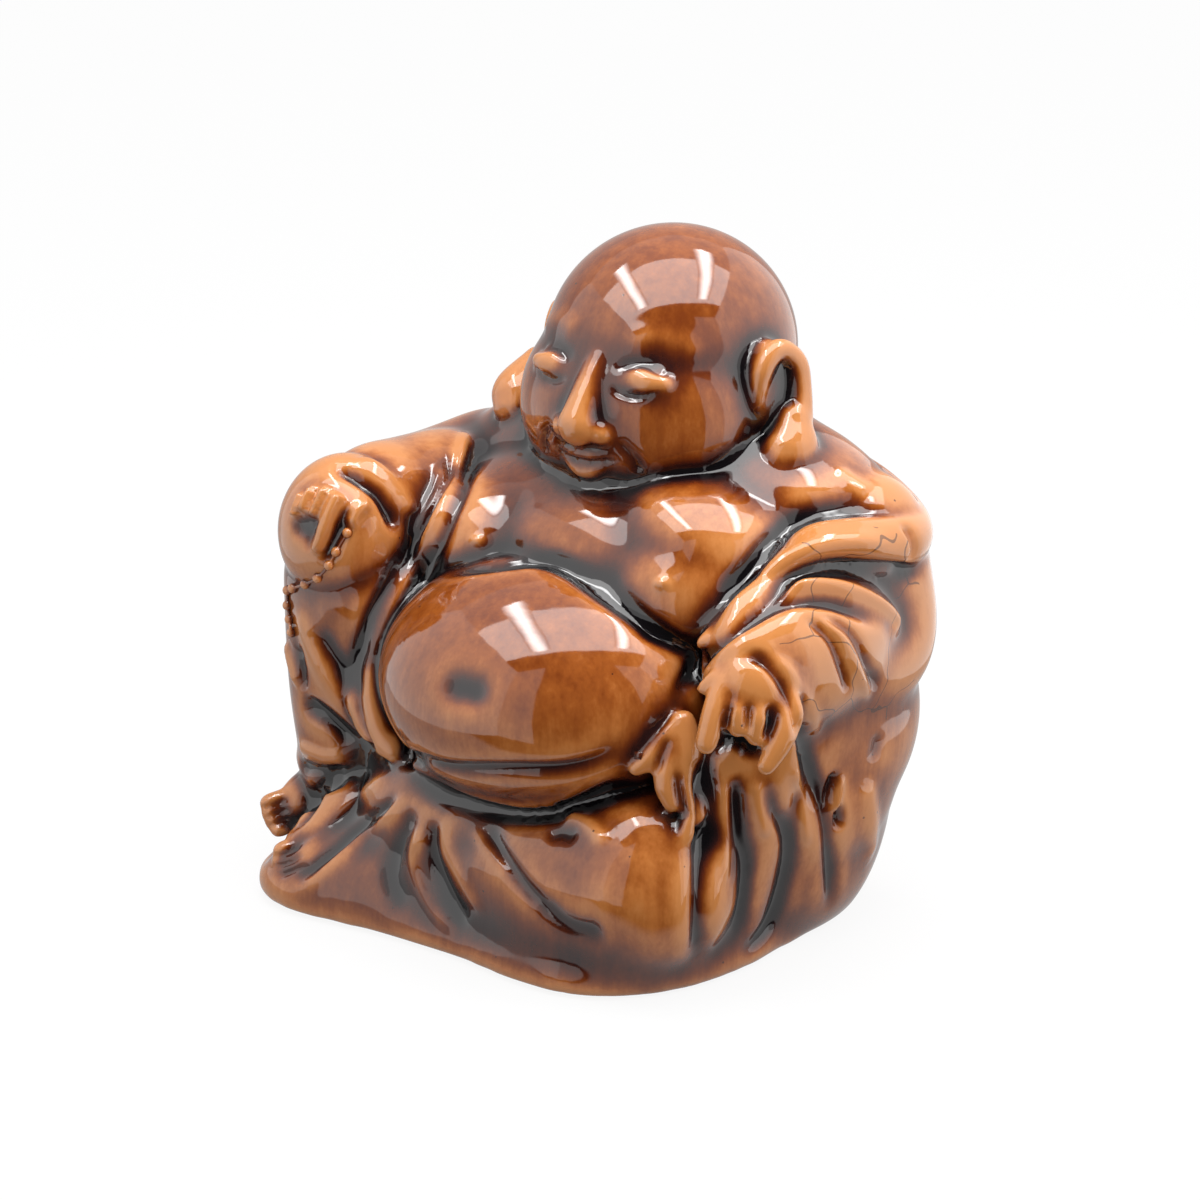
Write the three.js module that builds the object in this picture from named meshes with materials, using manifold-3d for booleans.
// A seated monk in glazed pottery, as the members that a potter casts and lutes together with slip.
// Millimetres, +Z up. The figure faces -Y and its own left is +X.
// The origin is on the base, under the middle of the outline.
// Each member is laid down in turn and trimmed to seat on those before it, a slip joint apart.
import * as THREE from "three";
import { mergeVertices } from "three/addons/utils/BufferGeometryUtils.js";
import Module from "manifold-3d";

const wasm = await Module();
wasm.setup();

// Joints and walls
const slipJoint = 0.3; // the seam of slip between two members
const wall = 4; // the cast wall round the hollow

// Foot slab
const slabThickness = 5;
const slabFront = 35; // from the middle of the seat to the front edge
const slabKnee = 41; // to the edge before the folded knee and the feet
const slabBack = 40;
const slabLeft = 40;
const slabRight = 51.5;
const slabBackHalfWidth = 34;
const slabCorner = 22; // reach of the rounded corners
const slabRollRadius = 5.2; // the roll of clay along its left side and back, under the robe
const ventRadius = 5; // the hole that lets the kiln's air out of the hollow

// Belly
const bellyWidth = 61;
const bellyDepth = 58;
const bellyHeight = 42;
const bellyForward = 12; // its middle, in front of the middle of the seat
const bellyRise = 38; // its middle, above the slab
const navelRadius = 4.5;
const navelDepth = 2;
const navelRise = 5; // above the belly's middle

// Chest
const chestWidth = 70;
const chestDepth = 40;
const chestHeight = 31;
const chestSetBack = 20; // behind the belly's middle
const chestAboveBelly = 19;
const breastSpacing = 33;
const breastWidth = 32;
const breastDepth = 28;
const breastHeight = 21;
const breastForward = 9; // in front of the chest's middle
const breastDrop = 0.5;
const nippleRadius = 1.3;

// Robe behind the body
const yokeWidth = 88;
const yokeDepth = 40;
const yokeHeight = 49;
const yokeSetBack = 12; // behind the chest's middle
const capWidth = 46; // the robe bunched over the left shoulder
const capDepth = 34;
const capHeight = 26;
const capOut = 25;
const capRise = 7.5; // above the yoke's middle
const capSlope = 24; // degrees down to the arm
const skirtWidth = 76;
const skirtDepth = 52;
const skirtHeight = 76;
const skirtSetBack = 14; // behind the middle of the seat
const skirtRise = 22;

// Head
const headWidth = 42;
const headDepth = 45;
const headHeight = 42;
const headSetBack = 13; // behind the chest's middle
const headAboveChest = 30;
const jowlWidth = 45;
const jowlDepth = 38;
const jowlHeight = 37;
const jowlForward = 7.5;
const jowlDrop = 8;
const neckRadius = 8; // the passage between the head's hollow and the body's

// Face: a calm one, the eyes halfway down the head and five eyes wide across it
const noseStand = 4;
const lidStand = 1.4;
const lipStand = 1.2;
const lipRadius = 1.3;

// Ears
const earLength = 21;
const earWidth = 10;
const earThickness = 7;
const lobeRadius = 5;
const lobeFlare = 3;
const earForward = 5; // in front of the head's middle
const earDrop = 4;
const rightEarLean = 6; // its shell leans back from the lobe

// Right leg, drawn up, and its foot
const rightKneeOut = 40.5;
const rightKneeForward = 18;
const rightKneeRise = 50;
const rightKneeRadius = 12;
const rightShinRadius = 11;
const rightAnkleRadius = 9;
const rightThighRadius = 13;
const footLength = 20;
const footRadius = 5.5;
const toeRadius = 1.9;
const toeCount = 5;

// Left leg, folded flat, and its foot
const leftKneeOut = 25;
const leftKneeForward = 23;
const leftKneeRadius = 15;
const leftShinRadius = 12;
const leftAnkleRadius = 8;
const legFoldRadius = 2.2; // the robe's main folds over both legs
const leftFootInset = 8.5; // how far inside the right foot it lies

// Arms, sleeves and hands
const shoulderSpan = 76;
const shoulderRise = 5.5; // above the chest's middle
const rightShoulderDrop = 4; // its arm reaches forward, so it sits lower
const upperArmRadius = 11;
const elbowRadius = 10;
const wristRadius = 7.5;
const palmWidth = 13;
const palmThickness = 9;
const fingerRadius = 1.9;
const fingerLength = 10;
const fingerCount = 4;
const gripWidth = 22; // the back of the right hand, spread over the knee
const gripDepth = 24;
const gripHeight = 26;
const rightCuffRadius = 9.5; // the sleeve's end behind it
const upperSleeveWidth = 25; // the right sleeve round the bent arm
const upperSleeveDepth = 40;
const upperSleeveHeight = 26;
const forearmWidth = 25; // the left sleeve round the forearm
const forearmDepth = 46;
const forearmHeight = 27;
const sleeveFoldRadius = 2.2; // the main folds of that sleeve
const leftWristForward = 14;
const leftWristRise = 50;
const leftWristOut = 39.5;
const sleeveWidth = 30; // the left sleeve's fall
const sleeveDepth = 46;
const sleeveOut = 34;
const rightSleeveWidth = 26; // the right sleeve's fall, behind the raised leg
const rightSleeveDepth = 40;
const liningRadius = 5; // the folds in the sleeve's mouth
const liningFolds = 3;

// Robe edges and sash
const leftLapelRadius = 5;
const rightLapelRadius = 3.2;
const sashRadius = 3;
const ribbonRadius = 3;
const hemRadius = 6;

// Beads
const beadRadius = 1.2;
const beadCount = 16;
const stringRadius = 0.5;

// Facets
const aroundBody = 16; // sides of the large masses
const aroundHollow = 10;
const aroundLimb = 9;
const aroundSmall = 6;

const glaze = (colour) => new THREE.MeshStandardMaterial({ color: colour, roughness: 0.12, metalness: 0 });
const amberGlaze = glaze(0x8a4a1e);
const tanGlaze = glaze(0xa5632b);
const darkGlaze = glaze(0x3a2320);

// A closed geometry as a solid that can be joined and cut.
function solidOf(geometry) {
  geometry.deleteAttribute("normal");
  geometry.deleteAttribute("uv");
  const merged = mergeVertices(geometry, 1e-4);
  return new wasm.Manifold(
    new wasm.Mesh({
      numProp: 3,
      vertProperties: merged.attributes.position.array,
      triVerts: new Uint32Array(merged.index.array),
    }),
  );
}

// A shape is a function of how far it is grown, so that neighbours can be trimmed a slip joint clear of it.
// A swelling of clay: an ellipsoid.
function swell(centre, size, { around = aroundBody, turn = new THREE.Matrix4() } = {}) {
  return (grow, sides = around) => {
    const geometry = new THREE.SphereGeometry(1, sides, Math.ceil(sides / 2));
    geometry.scale(...size.map((s) => s / 2 + grow));
    geometry.applyMatrix4(turn);
    geometry.translate(...centre);
    return solidOf(geometry);
  };
}

// A limb: rings along a smooth path through [x, y, z, radius] stations, with rounded ends.
function limb(stations, { sides = aroundLimb, steps = 2 } = {}) {
  const path = new THREE.CatmullRomCurve3(stations.map(([x, y, z]) => new THREE.Vector3(x, y, z)));
  const spans = stations.length - 1;
  const radiusAt = (t) => {
    const span = Math.min(Math.floor(t * spans), spans - 1);
    return THREE.MathUtils.lerp(stations[span][3], stations[span + 1][3], t * spans - span);
  };
  const capAngles = [0.7, 0.35].map((share) => (share * Math.PI) / 2);
  return (grow) => {
    const rings = [];
    const ringCount = spans * steps;
    for (let i = 0; i <= ringCount; i++) {
      const t = i / ringCount;
      rings.push({ at: path.getPoint(t), along: path.getTangent(t), radius: radiusAt(t) + grow });
    }
    const first = rings[0];
    const last = rings[ringCount];
    const capRing = (end, sign, angle) => ({
      at: end.at.clone().addScaledVector(end.along, sign * end.radius * Math.sin(angle)),
      along: end.along,
      radius: end.radius * Math.cos(angle),
    });
    const all = [
      ...capAngles.map((angle) => capRing(first, -1, angle)),
      ...rings,
      ...[...capAngles].reverse().map((angle) => capRing(last, 1, angle)),
    ];
    const points = [first.at.clone().addScaledVector(first.along, -first.radius)];
    const side = new THREE.Vector3(0.31, 0.17, 0.94).cross(first.along).normalize();
    for (const ring of all) {
      side.addScaledVector(ring.along, -side.dot(ring.along)).normalize();
      const other = new THREE.Vector3().crossVectors(ring.along, side);
      for (let k = 0; k < sides; k++) {
        const angle = (2 * Math.PI * k) / sides;
        const point = ring.at.clone().addScaledVector(side, ring.radius * Math.cos(angle));
        points.push(point.addScaledVector(other, ring.radius * Math.sin(angle)));
      }
    }
    points.push(last.at.clone().addScaledVector(last.along, last.radius));
    const faces = [];
    const vertex = (ring, k) => 1 + ring * sides + (k % sides);
    for (let k = 0; k < sides; k++) {
      faces.push(0, vertex(0, k + 1), vertex(0, k));
      faces.push(points.length - 1, vertex(all.length - 1, k), vertex(all.length - 1, k + 1));
      for (let ring = 0; ring < all.length - 1; ring++) {
        faces.push(vertex(ring, k), vertex(ring, k + 1), vertex(ring + 1, k));
        faces.push(vertex(ring, k + 1), vertex(ring + 1, k + 1), vertex(ring + 1, k));
      }
    }
    return solidOf(new THREE.BufferGeometry().setFromPoints(points).setIndex(faces));
  };
}

const joined = (...shapes) => (...how) => shapes.map((shape) => shape(...how)).reduce((a, b) => a.add(b));
const from = ([x, y, z], dx, dy, dz) => [x + dx, y + dy, z + dz];
const both = (make) => [-1, 1].map(make);
const along = (a, b, t) => a.map((x, i) => x + (b[i] - x) * t);

// Foot slab: a flat plate with rounded corners and one vent.
const slabOutline = [
  [-slabRight, -slabKnee],
  [-slabRight / 5, -slabFront],
  [slabLeft * 0.55, -slabKnee],
  [slabLeft, -slabKnee / 2],
  [slabLeft, slabBack / 2],
  [slabBackHalfWidth, slabBack],
  [-slabBackHalfWidth, slabBack],
  [-slabRight, 0],
];
function slab(grow) {
  const outline = new THREE.Shape();
  slabOutline.forEach((corner, i) => {
    const before = slabOutline.at(i - 1);
    const after = slabOutline[(i + 1) % slabOutline.length];
    const reach = (end) => {
      const length = Math.hypot(end[0] - corner[0], end[1] - corner[1]);
      return along(corner, end, Math.min(slabCorner / length, 0.5));
    };
    const [start, end] = [reach(before), reach(after)];
    if (i) outline.lineTo(...start);
    else outline.moveTo(...start);
    outline.quadraticCurveTo(...corner, ...end);
  });
  outline.closePath();
  const vent = new THREE.Path();
  vent.absarc(0, skirtSetBack, ventRadius, 0, 2 * Math.PI, true);
  outline.holes.push(vent);
  const geometry = new THREE.ExtrudeGeometry(outline, {
    depth: slabThickness + grow,
    bevelEnabled: false,
    curveSegments: 6,
  });
  return solidOf(geometry);
}

const rollRise = [slabRollRadius, slabRollRadius];
const slabRoll = limb([
  [slabLeft * 0.6, -slabKnee * 0.7, ...rollRise],
  [slabLeft - slabRollRadius - 2, -slabKnee * 0.37, ...rollRise],
  [slabLeft - slabRollRadius - 1, slabBack / 8, ...rollRise],
  [slabBackHalfWidth - 3, slabBack * 0.68, ...rollRise],
  [slabBackHalfWidth / 3, slabBack - slabRollRadius, ...rollRise],
  [-slabBackHalfWidth / 3, slabBack - slabRollRadius, ...rollRise],
  [-slabBackHalfWidth * 0.9, slabBack * 0.65, ...rollRise],
  [-slabRight * 0.83, slabBack / 12, ...rollRise],
]);

// Belly, with its navel pressed in.
const bellyCentre = [0, -bellyForward, slabThickness + bellyRise];
const bellyMass = swell(bellyCentre, [bellyWidth, bellyDepth, bellyHeight]);
const navelSlope = Math.sqrt(1 - (2 * navelRise / bellyHeight) ** 2);
const navelForward = (bellyDepth / 2) * navelSlope + navelRadius - navelDepth;
const navelCentre = from(bellyCentre, 0, -navelForward, navelRise);
const navel = swell(navelCentre, Array(3).fill(2 * navelRadius), { around: aroundLimb });

// Chest, with both breasts resting on the belly.
const chestCentre = from(bellyCentre, 0, chestSetBack, chestAboveBelly);
const breastCentre = (side) => from(chestCentre, (side * breastSpacing) / 2, -breastForward, -breastDrop);
const breastSize = [breastWidth, breastDepth, breastHeight];
const chestMass = joined(
  swell(chestCentre, [chestWidth, chestDepth, chestHeight]),
  ...both((side) => swell(breastCentre(side), breastSize, { around: aroundBody })),
);
const nippleSize = Array(3).fill(2 * nippleRadius);
const nipples = both((side) => {
  const centre = from(breastCentre(side), (side * breastWidth) / 7, -breastDepth * 0.48, 0);
  return swell(centre, nippleSize, { around: aroundSmall });
});

// The robe behind: the yoke over the shoulders and the skirt below it.
const yokeCentre = from(chestCentre, 0, yokeSetBack, 0);
const skirtCentre = [0, skirtSetBack, slabThickness + skirtRise];
const robeBody = joined(
  swell(yokeCentre, [yokeWidth, yokeDepth, yokeHeight]),
  swell(skirtCentre, [skirtWidth, skirtDepth, skirtHeight]),
);
const capTurn = new THREE.Matrix4().makeRotationY(THREE.MathUtils.degToRad(capSlope));
const capSize = [capWidth, capDepth, capHeight];
const shoulderCap = swell(from(yokeCentre, capOut, 0, capRise), capSize, { turn: capTurn });
const robeMass = joined(robeBody, shoulderCap);

// Head: skull and jowls, and a plain face on them.
const headCentre = from(chestCentre, 0, headSetBack, headAboveChest);
const jowlCentre = from(headCentre, 0, -jowlForward, -jowlDrop);
const headForms = [
  [headCentre, [headWidth, headDepth, headHeight]],
  [jowlCentre, [jowlWidth, jowlDepth, jowlHeight]],
];
const headMass = joined(...headForms.map(([centre, size]) => swell(centre, size)));
// The front of the head at a place on the face.
function faceFront(x, z) {
  const fronts = headForms.map(([[, y, middle], [width, depth, height]]) => {
    const rest = 1 - ((2 * x) / width) ** 2 - ((2 * (z - middle)) / height) ** 2;
    return y - (depth / 2) * Math.sqrt(Math.max(rest, 0));
  });
  return Math.min(...fronts);
}
const crown = headCentre[2] + headHeight / 2;
const chin = jowlCentre[2] - jowlHeight / 3;
const eyeWidth = headWidth / 5;
const eyeLine = (crown + chin) / 2;
const noseBase = (eyeLine + chin) / 2;
const mouthLine = noseBase + (chin - noseBase) / 3;
const lidDepth = 6;
const lidSize = [eyeWidth, lidDepth, eyeWidth / 2];
const lids = both((side) => {
  const centre = [side * eyeWidth, faceFront(eyeWidth, eyeLine) + lidDepth / 2 - lidStand, eyeLine];
  return swell(centre, lidSize, { around: aroundLimb });
});
const onFace = (x, z, stand, radius) => [x, faceFront(x, z) + radius - stand, z, radius];
const nose = limb(
  [
    onFace(0, eyeLine, noseStand / 6, eyeWidth / 4),
    onFace(0, (eyeLine + noseBase) / 2, noseStand / 2, eyeWidth / 3.4),
    onFace(0, noseBase + eyeWidth / 2.6, noseStand, eyeWidth / 2.6),
  ],
  { sides: aroundSmall },
);
const lips = both((side) =>
  limb(
    [
      onFace(-eyeWidth * 0.9, mouthLine + 1, lipStand / 3, lipRadius * 0.7),
      onFace(0, mouthLine + side * lipRadius * 0.9, lipStand, lipRadius),
      onFace(eyeWidth * 0.9, mouthLine + 1, lipStand / 3, lipRadius * 0.7),
    ],
    { sides: aroundSmall },
  ),
);

// The hollow that is left when the slip is poured out: each large mass, a wall smaller, and the neck.
const neck = limb([
  [...headCentre, neckRadius],
  [...chestCentre, neckRadius],
]);
const hollow = joined(bellyMass, chestMass, robeBody, headMass)(-wall, aroundHollow).add(neck(0));

// Ears: a flat shell with a heavy, flaring lobe.
function ear(side) {
  const root = from(headCentre, (side * (headWidth + earThickness / 2)) / 2, -earForward, -earDrop);
  const lobe = from(root, side * lobeFlare, 0, lobeRadius - earLength * 0.65);
  const lean = side < 0 ? rightEarLean : 0;
  const shell = from(root, 0, lean, -lean / 3);
  return joined(
    swell(shell, [earThickness, earWidth, earLength], { around: aroundLimb }),
    swell(lobe, [1.5 * lobeRadius, 1.7 * lobeRadius, 2 * lobeRadius], { around: aroundLimb }),
  );
}

// Right leg: the thigh rises to the knee and the shin drops to the slab.
const rightKnee = [-rightKneeOut, -rightKneeForward, slabThickness + rightKneeRise];
const rightAnkle = [-rightKneeOut - 2, -rightKneeForward + 3, slabThickness + rightAnkleRadius];
const rightLegMass = joined(
  limb([
    [-skirtWidth / 4, 0, slabThickness + skirtRise, rightThighRadius],
    [...rightKnee, rightKneeRadius],
  ]),
  limb([
    [...rightKnee, rightKneeRadius],
    [...along(rightKnee, rightAnkle, 0.5), rightShinRadius],
    [...rightAnkle, rightAnkleRadius],
  ]),
);

function fold(stations, radius = legFoldRadius) {
  return limb(stations.map((at) => [...at, radius]), { sides: aroundSmall });
}
const onKnee = (x, y, z) => from(rightKnee, ...[x, y, z].map((share) => share * rightKneeRadius));
const shinMiddle = along(rightKnee, rightAnkle, 0.5);
const onShin = (x, y, z) => from(shinMiddle, ...[x, y, z].map((share) => share * rightShinRadius));
const rightLegFolds = joined(
  fold([onKnee(-0.3, -0.95, -0.3), onKnee(0.33, -0.9, -0.75), onKnee(0.65, -0.75, -1.3)]),
  fold([onShin(-0.3, -0.98, -0.1), onShin(0.45, -0.85, -0.46), onShin(0.7, -0.65, -0.7)]),
);

// A foot lies along -Y, with its toes at the front.
function foot(heel) {
  const ballOfFoot = from(heel, -2, -footLength + footRadius, -0.5);
  const sole = limb([
    [...heel, footRadius],
    [...ballOfFoot, footRadius],
  ]);
  const toes = [];
  for (let i = 0; i < toeCount; i++) {
    const across = (2 * i) / (toeCount - 1) - 1;
    const toe = from(ballOfFoot, across * footRadius, -footRadius * (1 - across * across * 0.3), -0.5);
    toes.push(swell(toe, [2 * toeRadius, 3 * toeRadius, 2 * toeRadius], { around: aroundSmall }));
  }
  return joined(sole, ...toes);
}
const rightHeel = [rightAnkle[0] - 2, rightAnkle[1] + 11, slabThickness + footRadius];
const leftHeel = from(rightHeel, leftFootInset, -3, 0);

// Left leg: folded flat across the front, its shin running over to the right foot.
// The robe's lap swells behind it.
const leftKnee = [leftKneeOut, -leftKneeForward, slabThickness + leftKneeRadius - 2];
const lapCentre = [-slabRight / 6, -slabFront / 2, slabThickness + leftShinRadius];
const leftLegMass = joined(
  limb([
    [skirtWidth / 4, 4, slabThickness + leftKneeRadius, leftKneeRadius],
    [...leftKnee, leftKneeRadius],
  ]),
  swell(lapCentre, [slabRight, slabFront, 2.6 * leftShinRadius]),
  limb([
    [...leftKnee, leftKneeRadius],
    [0, -slabFront + leftShinRadius - 2, slabThickness + leftShinRadius - 2, leftShinRadius],
    [...from(leftHeel, 5, -8, 1), leftAnkleRadius],
  ]),
);

const onLap = (x, y, z) => from(lapCentre, x * slabRight, -y * slabFront, z * leftShinRadius);
const leftLegFolds = joined(
  fold([onLap(0.02, 0.5, 0.75), onLap(-0.01, 0.5, -0.25), onLap(0.03, 0.46, -0.8)]),
  fold([onLap(0.22, 0.52, 0.72), onLap(0.37, 0.57, 0.2), onLap(0.52, 0.6, -0.2), onLap(0.65, 0.58, -0.46)]),
);

// Hands: a palm from the wrist to the knuckles, with the fingers and the thumb bent down from it.
function hand(wrist, knuckles, fall, across) {
  const reach = new THREE.Vector3(...knuckles).sub(new THREE.Vector3(...wrist));
  const length = reach.length();
  const sideways = new THREE.Vector3(...across).normalize();
  const forward = reach.clone().addScaledVector(sideways, -reach.dot(sideways)).normalize();
  const turn = new THREE.Matrix4().makeBasis(sideways, forward, sideways.clone().cross(forward));
  const palmSize = [palmWidth, length + wristRadius, palmThickness];
  const parts = [swell(along(wrist, knuckles, 0.5), palmSize, { around: aroundLimb, turn })];
  for (let i = 0; i < fingerCount; i++) {
    const place = (2 * i) / (fingerCount - 1) - 1;
    const shift = sideways.clone().multiplyScalar(place * (palmWidth / 2 - fingerRadius)).toArray();
    const knuckle = from(knuckles, ...shift);
    const drop = fingerLength * (1 - place * place * 0.2);
    const tip = from(knuckle, ...fall.map((x) => x * drop));
    const bend = from(along(knuckle, tip, 0.5), ...forward.toArray());
    const stations = [
      [...knuckle, fingerRadius],
      [...bend, fingerRadius],
      [...tip, fingerRadius * 0.8],
    ];
    parts.push(limb(stations, { sides: aroundSmall, steps: 2 }));
  }
  return parts;
}
function thumb(wrist, tip) {
  return limb([[...wrist, fingerRadius * 1.5], [...tip, fingerRadius]], { sides: aroundSmall, steps: 2 });
}

// Right arm: out along the thigh to the hand on the knee, with its sleeve's fall behind the leg.
const shoulder = (side) => {
  const rise = side < 0 ? shoulderRise - rightShoulderDrop : shoulderRise;
  return from(chestCentre, (side * shoulderSpan) / 2, yokeSetBack + 2, rise);
};
const rightWrist = from(rightKnee, 2, rightKneeRadius * 0.8, rightKneeRadius * 0.9);
const rightKnuckles = from(rightKnee, 2, -rightKneeRadius * 0.7, rightKneeRadius * 1.2);
const rightElbow = from(along(shoulder(-1), rightWrist, 0.5), -3, 0, -4);
const rightArmMass = joined(
  limb([
    [...shoulder(-1), upperArmRadius],
    [...rightElbow, elbowRadius],
    [...rightWrist, rightCuffRadius],
  ]),
  swell(from(rightElbow, 4, -5, 1.5), [upperSleeveWidth, upperSleeveDepth, upperSleeveHeight]),
);
const rightHandMass = joined(
  swell(from(rightKnee, 1, -0.5, rightKneeRadius * 0.67), [gripWidth, gripDepth, gripHeight]),
  ...hand(rightWrist, rightKnuckles, [-0.15, -0.5, -0.85], [0.95, -0.3, 0]),
  thumb(from(rightWrist, 4, -2, -2), from(rightKnuckles, 9, -2, -5)),
);

const rightFall = rightElbow[2] - slabThickness;
const rightSleeveMass = swell(
  [rightElbow[0] + rightSleeveWidth / 3, rightElbow[1], slabThickness + rightFall * 0.46],
  [rightSleeveWidth, rightSleeveDepth, rightFall * 1.2],
);

// Left arm: down to the elbow and forward to the wrist, with the sleeve's fall below it.
const leftWrist = [leftWristOut, -leftWristForward, slabThickness + leftWristRise];
const leftKnuckles = from(leftWrist, 3, -8, -4);
const leftElbow = from(shoulder(1), 4, -4, -20);
const forearmCentre = from(along(leftElbow, leftWrist, 0.55), -1.2, 0, 1.5);
const leftArmMass = joined(
  limb([
    [...shoulder(1), upperArmRadius],
    [...leftElbow, elbowRadius],
    [...leftWrist, wristRadius],
  ]),
  swell(forearmCentre, [forearmWidth, forearmDepth, forearmHeight]),
);
function onForearm(x, y, z) {
  return from(forearmCentre, (x * forearmWidth) / 2, (y * forearmDepth) / 2, (z * forearmHeight) / 2);
}
const lowerFold = [
  onForearm(0.54, -0.54, 0.75),
  onForearm(0.8, -0.45, 0.54),
  onForearm(1, -0.33, 0.13),
  onForearm(0.89, 0, -0.57),
];
const upperFold = [
  onForearm(0.53, -0.4, 0.82),
  onForearm(0.83, -0.3, 0.57),
  onForearm(1.04, -0.1, 0.18),
  onForearm(0.86, 0.32, -0.53),
];
const leftArmFolds = joined(fold(lowerFold, sleeveFoldRadius), fold(upperFold, sleeveFoldRadius));
const leftHandMass = joined(
  ...hand(leftWrist, leftKnuckles, [0.15, -0.25, -0.95], [0.82, 0.57, 0]),
  thumb(from(leftWrist, -3, -4, -1), from(leftKnuckles, -7, -6, -5)),
);
const sleeveFall = leftElbow[2] - slabThickness;
const sleeveSize = [sleeveWidth, sleeveDepth, sleeveFall];
const sleeveMass = joined(
  swell([sleeveOut + 1, leftElbow[1] - 5, slabThickness + sleeveFall * 0.7], sleeveSize),
  swell([sleeveOut, leftElbow[1] - 8, slabThickness + sleeveFall * 0.3], sleeveSize),
);
const liningMass = joined(
  ...Array.from({ length: liningFolds }, (_, i) => {
    const step = (i - (liningFolds - 1) / 2) * liningRadius * 1.1;
    const mouth = [leftWristOut - 4, -leftWristForward - 1, slabThickness + liningRadius / 2];
    const root = from(mouth, step * 0.8, step * 0.6, 0);
    const top = along(root, leftWrist, 0.8);
    return limb([
      [...root, liningRadius],
      [...along(root, top, 0.5), liningRadius],
      [...top, liningRadius * 0.8],
    ]);
  }),
);

// Edges of the robe, laid on the chest and down beside the belly, and the sash below it.
const leftLapelMass = limb([
  [...from(shoulder(1), 7, -4, 0), leftLapelRadius],
  [...from(shoulder(1), 1, -17, 0), leftLapelRadius],
  [...from(shoulder(1), -2, -27, -6), leftLapelRadius * 0.8],
  [...from(bellyCentre, bellyWidth / 2 + 2, -4, bellyHeight / 3), leftLapelRadius * 0.6],
]);
const rightLapelMass = limb([
  [...from(shoulder(-1), 1, -8, 2), rightLapelRadius],
  [...from(shoulder(-1), 3, -18, -3), rightLapelRadius],
  [...from(bellyCentre, -bellyWidth / 2 - 1, -2, bellyHeight / 6), rightLapelRadius],
  [...from(bellyCentre, -bellyWidth / 2 + 1, -9, -bellyHeight / 5), rightLapelRadius],
  [...from(bellyCentre, -bellyWidth / 3, -17, -bellyHeight / 2.2), rightLapelRadius * 0.8],
]);
const sashMass = limb([
  [...from(bellyCentre, -bellyWidth / 3.4, -bellyDepth / 3, -bellyHeight / 2.6), sashRadius],
  [...from(bellyCentre, 0, -bellyDepth / 2.6, -bellyHeight / 2.3), sashRadius],
  [...from(bellyCentre, bellyWidth / 2.65, -bellyDepth / 3.3, -bellyHeight / 4), sashRadius],
]);
const ribbonMass = limb([
  [...from(leftWrist, -5, -6, -6), ribbonRadius],
  [...from(leftWrist, -8, -9, -16), ribbonRadius],
  [...from(leftWrist, -5, -11, -26), ribbonRadius],
]);
const hemMass = limb([
  [...from(leftHeel, 6, -footLength - 2, -2), hemRadius],
  [-slabRight / 3, -slabFront + hemRadius, slabThickness + hemRadius / 2, hemRadius],
  [0, -slabFront + hemRadius, slabThickness + hemRadius / 2, hemRadius],
]);

// Beads: a string draped from the hand over the raised knee, found by looking in at the leg from around it.
function meshOf(solid, material) {
  const { numProp, vertProperties, triVerts } = solid.getMesh();
  const geometry = new THREE.BufferGeometry();
  geometry.setAttribute("position", new THREE.BufferAttribute(vertProperties, numProp));
  geometry.setIndex(new THREE.BufferAttribute(triVerts, 1));
  geometry.computeVertexNormals();
  return new THREE.Mesh(geometry, material);
}
const beadGuide = new THREE.CatmullRomCurve3([
  new THREE.Vector3(0.85, 0.75, 0),
  new THREE.Vector3(0.3, 0.1, 0),
  new THREE.Vector3(-0.3, -0.2, 0),
  new THREE.Vector3(-0.5, -0.35, 0),
  new THREE.Vector3(-0.55, -0.95, 0),
]);
function beads(grow) {
  const draped = meshOf(joined(rightLegMass, rightHandMass, rightArmMass)(0), tanGlaze);
  const caster = new THREE.Raycaster();
  const strung = [];
  for (let i = 0; i < beadCount; i++) {
    const { x: angle, y: height } = beadGuide.getPointAt(i / (beadCount - 1));
    const outward = new THREE.Vector3(Math.sin(angle), -Math.cos(angle), 0);
    const axis = new THREE.Vector3(...from(rightKnee, 0, 0, height * rightKneeRadius));
    caster.set(axis.clone().addScaledVector(outward, 3 * rightKneeRadius), outward.clone().negate());
    const [hit] = caster.intersectObject(draped);
    strung.push(hit.point.addScaledVector(hit.face.normal, beadRadius + slipJoint).toArray());
  }
  const string = limb(strung.map((at) => [...at, stringRadius]), { sides: 4, steps: 1 });
  const round = strung.map((at) => swell(at, Array(3).fill(2 * beadRadius), { around: 6 }));
  return joined(string, ...round)(grow);
}

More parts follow.
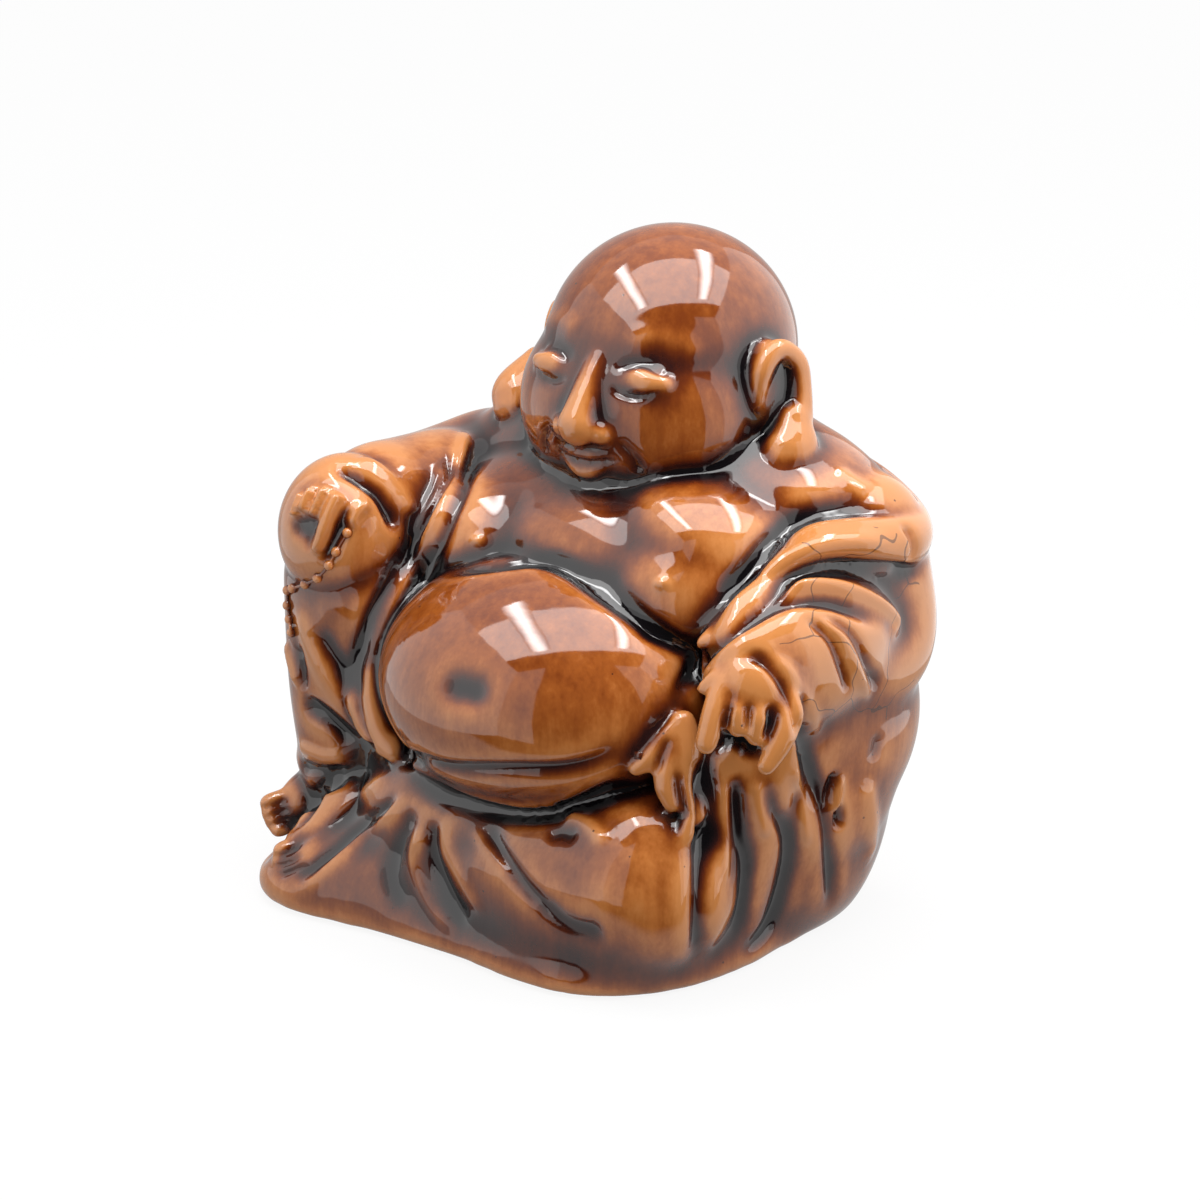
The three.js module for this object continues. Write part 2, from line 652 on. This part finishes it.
// The clay in the order it is luted. Each shape is trimmed by the shapes before it.
const order = [
  { name: "foot_slab", shape: joined(slab, slabRoll), material: amberGlaze },
  { name: "head", shape: joined(headMass, nose, ...lids, ...lips), material: amberGlaze },
  { name: "chest", shape: joined(chestMass, ...nipples), material: amberGlaze },
  { name: "belly", shape: bellyMass, press: navel, material: amberGlaze },
  { name: "robe_back", shape: robeMass, material: amberGlaze },
  { name: "left_ear", shape: ear(1), material: tanGlaze },
  { name: "right_ear", shape: ear(-1), material: tanGlaze },
  { name: "left_lapel", shape: leftLapelMass, material: tanGlaze },
  { name: "right_lapel", shape: rightLapelMass, material: tanGlaze },
  { name: "waist_sash", shape: sashMass, material: tanGlaze },
  { name: "right_leg", shape: rightLegMass, press: rightLegFolds, material: amberGlaze },
  { name: "right_hand", shape: rightHandMass, material: tanGlaze },
  { name: "right_arm", shape: rightArmMass, material: amberGlaze },
  { name: "right_sleeve", shape: rightSleeveMass, material: amberGlaze },
  { name: "left_hand", shape: leftHandMass, material: tanGlaze },
  { name: "left_arm", shape: leftArmMass, press: leftArmFolds, material: amberGlaze },
  { name: "left_leg", shape: leftLegMass, press: leftLegFolds, material: amberGlaze },
  { name: "right_foot", shape: foot(rightHeel), material: tanGlaze },
  { name: "left_foot", shape: foot(leftHeel), material: tanGlaze },
  { name: "sash_ribbon", shape: ribbonMass, material: tanGlaze },
  { name: "sleeve_lining", shape: liningMass, material: darkGlaze },
  { name: "left_sleeve", shape: sleeveMass, material: amberGlaze },
  { name: "robe_hem", shape: hemMass, material: amberGlaze },
  { name: "prayer_beads", shape: beads, material: tanGlaze },
];

// The largest body of a solid: trimming can leave scraps, which a potter wipes away.
function wiped(solid) {
  return solid.decompose().reduce((a, b) => (a.volume() > b.volume() ? a : b));
}

const underFigure = new THREE.BoxGeometry(400, 400, 200).translate(0, 0, slabThickness + slipJoint - 100);
const belowSeat = solidOf(underFigure);

const figure = new THREE.Group();
const room = []; // each laid member and the slip joint round it
for (const { name, shape, press, material } of order) {
  let solid = shape(0);
  if (press) solid = solid.subtract(press(0));
  if (room.length) solid = solid.subtract(belowSeat).subtract(hollow);
  for (const taken of room) solid = solid.subtract(taken);
  room.push(shape(slipJoint));
  const mesh = meshOf(wiped(solid), material);
  mesh.name = name;
  figure.add(mesh);
}

// The origin goes under the middle of the figure's outline.
const outline = new THREE.Box3().setFromObject(figure);
const middle = outline.getCenter(new THREE.Vector3());
figure.position.set(-middle.x, -middle.y, -outline.min.z);
const part = new THREE.Group();
part.add(figure);

export default part;
